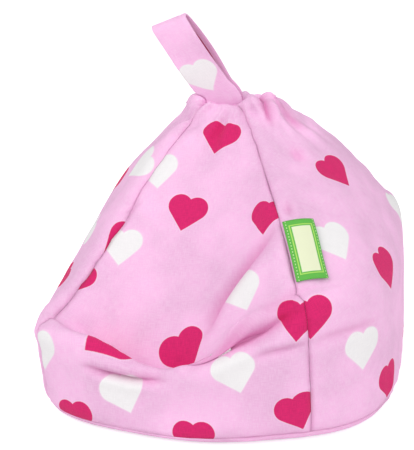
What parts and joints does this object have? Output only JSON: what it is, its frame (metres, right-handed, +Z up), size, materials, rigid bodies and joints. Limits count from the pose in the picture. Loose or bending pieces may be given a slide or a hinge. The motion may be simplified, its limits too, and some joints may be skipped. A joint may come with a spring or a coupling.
{
  "type": "tablet cushion stand",
  "caption": "Bean-filled cotton cushion with a sloping seat and a lipped ledge that hold a tablet at reading angle, with a gathered top, a carrying strap and a side tag.",
  "frame": {"origin": "on the floor below the middle of the base", "axes": "+X to the right seen from the front, +Y to the back, +Z up"},
  "size_m": [0.3083, 0.3089, 0.3139],
  "materials": {
    "printed_cotton": "matt woven cotton",
    "bead_filling": "matt white beads",
    "tag_ribbon": "smooth woven ribbon"
  },
  "bodies": {
    "root": {"bean_filling": "bead_filling", "front_panel": "printed_cotton", "right_side_panel": "printed_cotton", "back_panel": "printed_cotton", "left_side_panel": "printed_cotton", "base_panel": "printed_cotton", "handle_loop": "printed_cotton", "label_tag": "tag_ribbon"}
  },
  "joints": []
}
